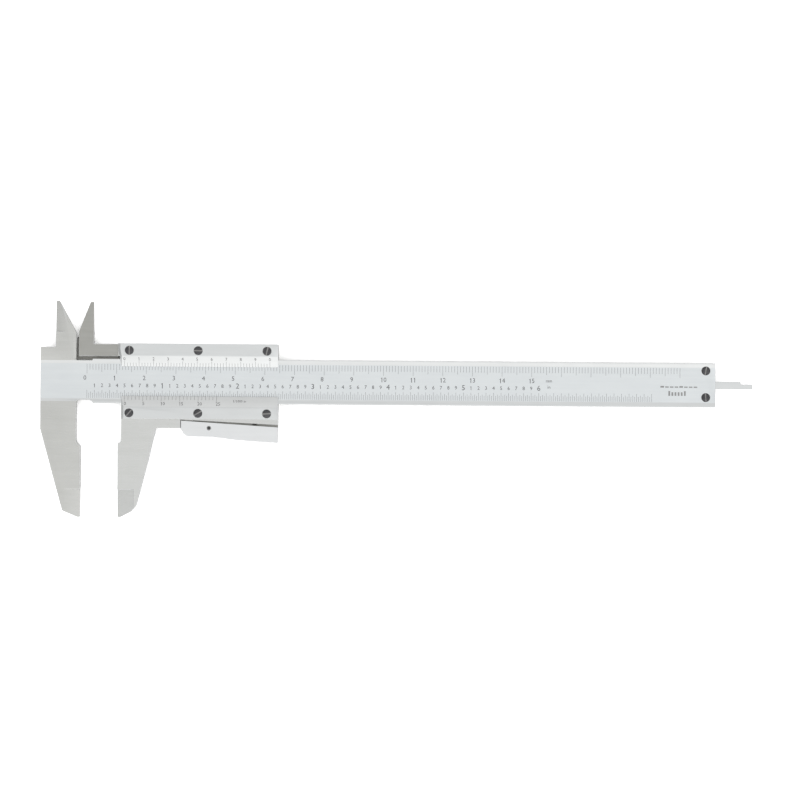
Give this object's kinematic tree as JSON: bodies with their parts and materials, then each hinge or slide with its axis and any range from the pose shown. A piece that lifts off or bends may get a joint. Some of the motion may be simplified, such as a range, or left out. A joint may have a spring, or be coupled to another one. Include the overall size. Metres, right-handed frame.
{
  "type": "vernier caliper",
  "caption": "Slim steel vernier caliper with outside and inside jaws, a sliding vernier with two screwed plates, a thumb clamp lever and a depth rod.",
  "frame": {"origin": "middle of the box round the part in its rest position, on the plane of the slider's back", "axes": "+X along the beam from the jaws to the tail, +Y towards the inside jaws, +Z out of the scale face"},
  "size_m": [0.2404, 0.073, 0.0062],
  "materials": {
    "satin_chrome": "satin hard chrome scale face over ground steel",
    "ground_steel": "ground hardened steel",
    "vernier_plate": "fine satin chrome",
    "lever_steel": "bright satin steel",
    "black_oxide": "black oxide",
    "pin_steel": "plain steel",
    "spring_steel": "drawn spring wire"
  },
  "bodies": {
    "beam": {"main_beam": "satin_chrome", "end_stop": "ground_steel", "end_stop_screw_1": "black_oxide", "end_stop_screw_2": "black_oxide"},
    "slider": {"slider_body": "ground_steel", "upper_vernier_plate": "vernier_plate", "lower_vernier_plate": "vernier_plate", "upper_vernier_screw_1": "black_oxide", "upper_vernier_screw_2": "black_oxide", "upper_vernier_screw_3": "black_oxide", "lower_vernier_screw_1": "black_oxide", "lower_vernier_screw_2": "black_oxide", "lower_vernier_screw_3": "black_oxide", "gib": "ground_steel", "gib_screw_1": "black_oxide", "gib_screw_2": "black_oxide", "thumb_clamp_pin": "pin_steel", "thumb_clamp_spring": "spring_steel", "depth_rod": "ground_steel", "depth_rod_pin": "pin_steel"},
    "thumb_clamp": {"thumb_clamp": "lever_steel"},
    "clamp_shoe": {"clamp_shoe": "ground_steel"}
  },
  "joints": [
    {"name": "slider_slide", "type": "slide", "parent": "beam", "child": "slider", "axis": [1, 0, 0], "range_m": [-0.0127, 0.141]},
    {"name": "thumb_clamp_hinge", "type": "hinge", "parent": "slider", "child": "thumb_clamp", "pos_m": [-0.0633, -0.00615, 0.00305], "axis": [0, 0, 1], "range_deg": [0, 1.8], "stiffness_Nm_per_rad": 0.47, "springref_deg": -5.73, "deforming": ["thumb_clamp_spring"]},
    {"name": "clamp_shoe_slide", "type": "slide", "parent": "slider", "child": "clamp_shoe", "axis": [0, 1, 0], "range_m": [-0.00025, 0]}
  ],
  "couplings": [
    {"joint": "clamp_shoe_slide", "follows": "thumb_clamp_hinge", "m_per_rad": -0.0068}
  ]
}
